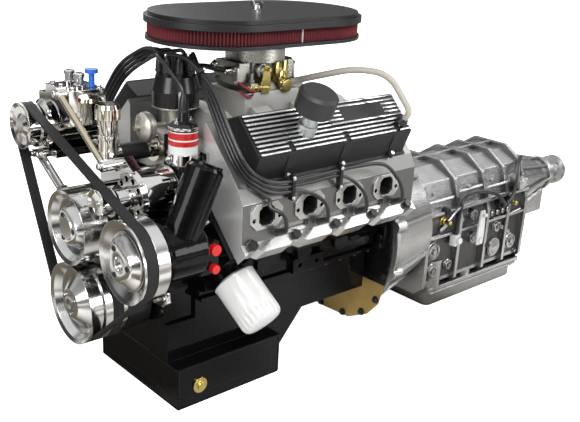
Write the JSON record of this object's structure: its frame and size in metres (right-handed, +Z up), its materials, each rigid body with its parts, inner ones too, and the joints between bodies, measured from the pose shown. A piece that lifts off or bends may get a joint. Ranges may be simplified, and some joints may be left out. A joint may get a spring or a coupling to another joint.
{
  "type": "complete v8 engine",
  "caption": "Complete V-form piston engine with belt-driven accessories, carburettor, oval air cleaner and an automatic transmission; shafts, throttle and selector turn.",
  "frame": {"origin": "bottom centre of the bounding box, on the floor under the sump", "axes": "+Y runs from the pulleys to the output yoke along the crankshaft, +Z up, +X to the side with the oil filter"},
  "size_m": [0.5758, 1.734, 0.8033],
  "materials": {
    "black_enamel": "gloss enamel",
    "machined_iron": "machined",
    "plain_steel": "plain",
    "cast_aluminium": "as cast",
    "black_crackle": "crackle paint with polished fin tops",
    "polished": "polished",
    "damper_black": "satin",
    "cap_blue": "matt, the two lower caps red",
    "belt_rubber": "matt",
    "lead_rubber": "satin",
    "black_plastic": "gloss",
    "coil_red": "gloss, with white bands",
    "filter_white": "gloss",
    "brass": "plain",
    "dark_grey": "satin",
    "lid_black": "gloss",
    "filter_red": "pleated",
    "carburettor_silver": "satin",
    "yellow_zinc": "yellow zinc plate",
    "zinc": "bright zinc plate"
  },
  "bodies": {
    "engine": {"accessory_brackets": "polished", "air_cleaner_base": "lid_black", "air_cleaner_lid": "lid_black", "air_filter": "filter_red", "alternator": "polished", "bell_housing": "cast_aluminium", "block_plate": "yellow_zinc", "bolts": "zinc", "carburettor": "carburettor_silver", "compressor": "polished", "connecting_rods": "plain_steel", "cylinder_block": "black_enamel", "cylinder_head_left": "cast_aluminium", "cylinder_head_right": "cast_aluminium", "distributor_cap": "black_plastic", "distributor_housing": "cast_aluminium", "drain_plug": "brass", "drive_belts": "belt_rubber", "head_gaskets": "plain_steel", "ignition_coil": "coil_red", "ignition_leads": "lead_rubber", "intake_manifold": "cast_aluminium", "main_caps": "machined_iron", "oil_filter": "filter_white", "oil_pan": "black_enamel", "oil_pump": "machined_iron", "pcv_hose": "lead_rubber", "pistons": "cast_aluminium", "port_caps": "cap_blue", "power_steering_pump": "black_enamel", "spark_plugs": "zinc", "tail_housing": "cast_aluminium", "timing_chain": "plain_steel", "timing_cover": "black_enamel", "transmission_case": "cast_aluminium", "transmission_pan": "zinc", "valve_cover_left": "black_crackle", "valve_cover_right": "black_crackle", "valve_train": "plain_steel", "water_neck": "polished", "water_pump": "black_enamel", "wire_separators": "black_plastic"},
    "crank_set": {"crankshaft": "machined_iron", "harmonic_damper": "damper_black", "crank_pulley": "polished", "crank_sprocket": "plain_steel", "flexplate": "plain_steel", "torque_converter": "plain_steel"},
    "cam_set": {"camshaft": "machined_iron", "cam_sprocket": "plain_steel"},
    "distributor_rotor": {"distributor_shaft": "plain_steel"},
    "water_pump_rotor": {"water_pump_pulley": "polished"},
    "steering_rotor": {"power_steering_pulley": "polished"},
    "compressor_rotor": {"compressor_pulley": "polished"},
    "alternator_rotor": {"alternator_pulley": "polished"},
    "output": {"output_yoke": "plain_steel"},
    "throttle": {"throttle_lever": "brass"},
    "selector": {"shift_lever": "zinc"},
    "wing": {"wing_nut": "polished"},
    "breather": {"breather_cap": "dark_grey"}
  },
  "joints": [
    {"name": "crank_spin", "type": "hinge", "parent": "engine", "child": "crank_set", "pos_m": [-0.00167, -0.639, 0.23], "axis": [0, 1, 0], "continuous": true, "deforming": ["pistons", "connecting_rods"]},
    {"name": "cam_spin", "type": "hinge", "parent": "engine", "child": "cam_set", "pos_m": [-0.00167, -0.639, 0.361], "axis": [0, 1, 0], "continuous": true},
    {"name": "distributor_spin", "type": "hinge", "parent": "engine", "child": "distributor_rotor", "pos_m": [-0.00167, -0.615, 0.23], "axis": [0, 0, 1], "continuous": true},
    {"name": "water_pump_spin", "type": "hinge", "parent": "engine", "child": "water_pump_rotor", "pos_m": [-0.00167, -0.639, 0.391], "axis": [0, 1, 0], "continuous": true},
    {"name": "steering_pump_spin", "type": "hinge", "parent": "engine", "child": "steering_rotor", "pos_m": [0.18833, -0.639, 0.383], "axis": [0, 1, 0], "continuous": true},
    {"name": "compressor_spin", "type": "hinge", "parent": "engine", "child": "compressor_rotor", "pos_m": [-0.19767, -0.639, 0.548], "axis": [0, 1, 0], "continuous": true},
    {"name": "alternator_spin", "type": "hinge", "parent": "engine", "child": "alternator_rotor", "pos_m": [0.09833, -0.639, 0.466], "axis": [0, 1, 0], "continuous": true},
    {"name": "output_spin", "type": "hinge", "parent": "engine", "child": "output", "pos_m": [-0.00167, 0.761, 0.23], "axis": [0, 1, 0], "continuous": true},
    {"name": "throttle_turn", "type": "hinge", "parent": "engine", "child": "throttle", "pos_m": [-0.00167, -0.434, 0.6343], "axis": [1, 0, 0], "range_deg": [0, 75]},
    {"name": "shift_lever_turn", "type": "hinge", "parent": "engine", "child": "selector", "pos_m": [0.14633, 0.261, 0.17], "axis": [1, 0, 0], "range_deg": [-25, 25]},
    {"name": "wing_nut_turn", "type": "hinge", "parent": "engine", "child": "wing", "pos_m": [-0.00167, -0.411, 0.23], "axis": [0, 0, 1], "continuous": true},
    {"name": "breather_lift", "type": "slide", "parent": "engine", "child": "breather", "axis": [0.3746, 0, 0.9272], "range_m": [0, 0.04]}
  ],
  "couplings": [
    {"joint": "cam_spin", "follows": "crank_spin", "ratio": 0.5},
    {"joint": "distributor_spin", "follows": "crank_spin", "ratio": 0.5},
    {"joint": "water_pump_spin", "follows": "crank_spin", "ratio": 1.1449},
    {"joint": "steering_pump_spin", "follows": "crank_spin", "ratio": 1.0822},
    {"joint": "compressor_spin", "follows": "crank_spin", "ratio": 1.881},
    {"joint": "alternator_spin", "follows": "crank_spin", "ratio": 3.3617}
  ]
}
